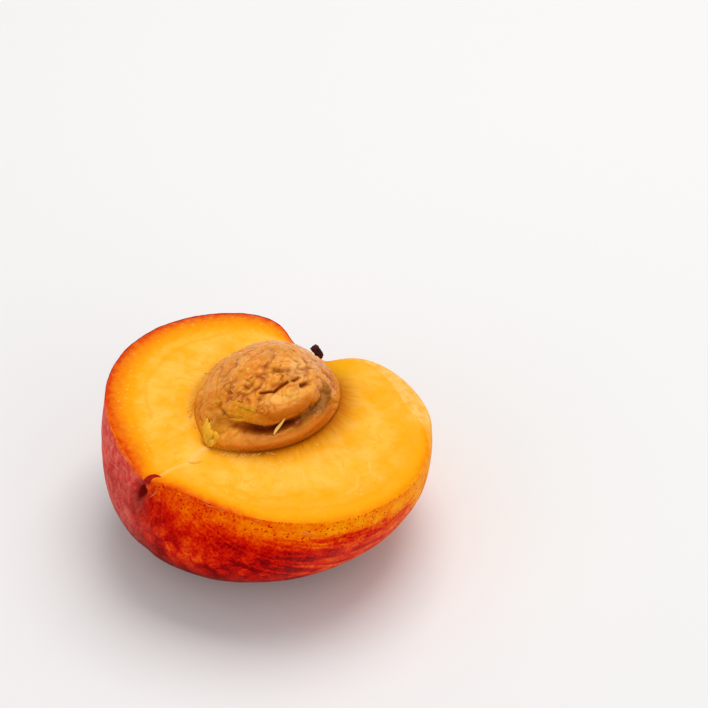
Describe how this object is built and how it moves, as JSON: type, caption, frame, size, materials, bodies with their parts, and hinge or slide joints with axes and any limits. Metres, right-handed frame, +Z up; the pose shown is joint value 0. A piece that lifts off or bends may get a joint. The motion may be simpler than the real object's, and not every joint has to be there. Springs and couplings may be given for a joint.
{
  "type": "peach half",
  "caption": "Half a ripe peach lying cut side up on its round skin, with the stone seated in the golden flesh and a stub of stem in the notch.",
  "frame": {"origin": "on the resting plane, under the middle of the outer box", "axes": "+Z up out of the cut side, +Y from the blossom tip towards the stem notch, +X towards the lobe beside the stone's keel"},
  "size_m": [0.0756, 0.0718, 0.0427],
  "materials": {
    "flesh": "moist golden-yellow flesh, darker orange near the skin; the skin around it is thin, fuzzy and red over orange",
    "stone": "tan, woody, deeply furrowed and slightly moist",
    "stem": "dry, dark brown, rough"
  },
  "bodies": {
    "root": {"flesh": "flesh", "stone": "stone", "stem": "stem"}
  },
  "joints": []
}
